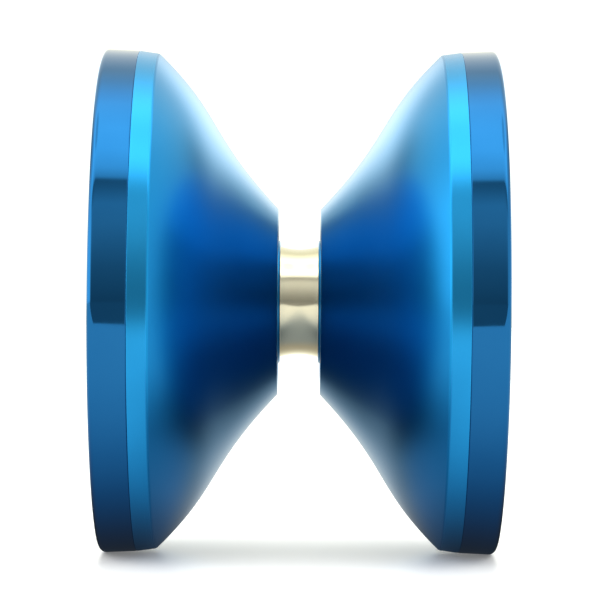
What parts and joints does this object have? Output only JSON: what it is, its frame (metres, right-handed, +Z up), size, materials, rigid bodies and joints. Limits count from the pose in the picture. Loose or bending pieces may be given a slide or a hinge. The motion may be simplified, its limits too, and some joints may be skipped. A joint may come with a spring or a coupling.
{
  "type": "yo yo",
  "caption": "Wide flared metal yo yo: turned aluminium halves with polished rim rings, screwed together on an axle round a hollow-ground ball bearing.",
  "frame": {"origin": "centre of the bearing, midway between the halves, which is also the centre of the whole part", "axes": "+X along the axle towards the right half, +Z up, and the picture looks along +Y"},
  "size_m": [0.045, 0.0576, 0.0576],
  "materials": {
    "blue_satin": "bead-blasted, blue anodised",
    "blue_polished": "polished, blue anodised",
    "silicone": "matt silicone",
    "axle_steel": "bright zinc",
    "race_steel": "ground and polished",
    "ball_steel": "polished",
    "cage_nylon": "moulded nylon",
    "shield_steel": "pressed, bright",
    "spring_steel": "drawn wire"
  },
  "bodies": {
    "left_side": {"left_half": "blue_satin", "left_rim_ring": "blue_polished", "left_response_pad": "silicone", "axle": "axle_steel"},
    "bearing_seat": {"bearing_inner_race": "race_steel"},
    "bearing_outer": {"bearing_outer_race": "race_steel", "left_shield": "shield_steel", "right_shield": "shield_steel", "left_snap_ring": "spring_steel", "right_snap_ring": "spring_steel"},
    "ball_set": {"bearing_cage": "cage_nylon", "ball_1": "ball_steel", "ball_2": "ball_steel", "ball_3": "ball_steel", "ball_4": "ball_steel", "ball_5": "ball_steel", "ball_6": "ball_steel", "ball_7": "ball_steel", "ball_8": "ball_steel", "ball_9": "ball_steel", "ball_10": "ball_steel"},
    "right_side": {"right_half": "blue_satin", "right_rim_ring": "blue_polished", "right_response_pad": "silicone"}
  },
  "joints": [
    {"name": "bearing_travel", "type": "slide", "parent": "left_side", "child": "bearing_seat", "axis": [1, 0, 0], "range_m": [0, 0.00806]},
    {"name": "right_half_turn", "type": "hinge", "parent": "bearing_seat", "child": "right_side", "pos_m": [0, 0, 0], "axis": [1, 0, 0], "range_deg": [0, 4140]},
    {"name": "bearing_spin", "type": "hinge", "parent": "bearing_seat", "child": "bearing_outer", "pos_m": [0, 0, 0], "axis": [1, 0, 0], "continuous": true},
    {"name": "ball_set_spin", "type": "hinge", "parent": "bearing_seat", "child": "ball_set", "pos_m": [0, 0, 0], "axis": [1, 0, 0], "continuous": true}
  ],
  "couplings": [
    {"joint": "bearing_travel", "follows": "right_half_turn", "m_per_rad": 0.00011141},
    {"joint": "ball_set_spin", "follows": "bearing_spin", "ratio": 0.58722}
  ]
}
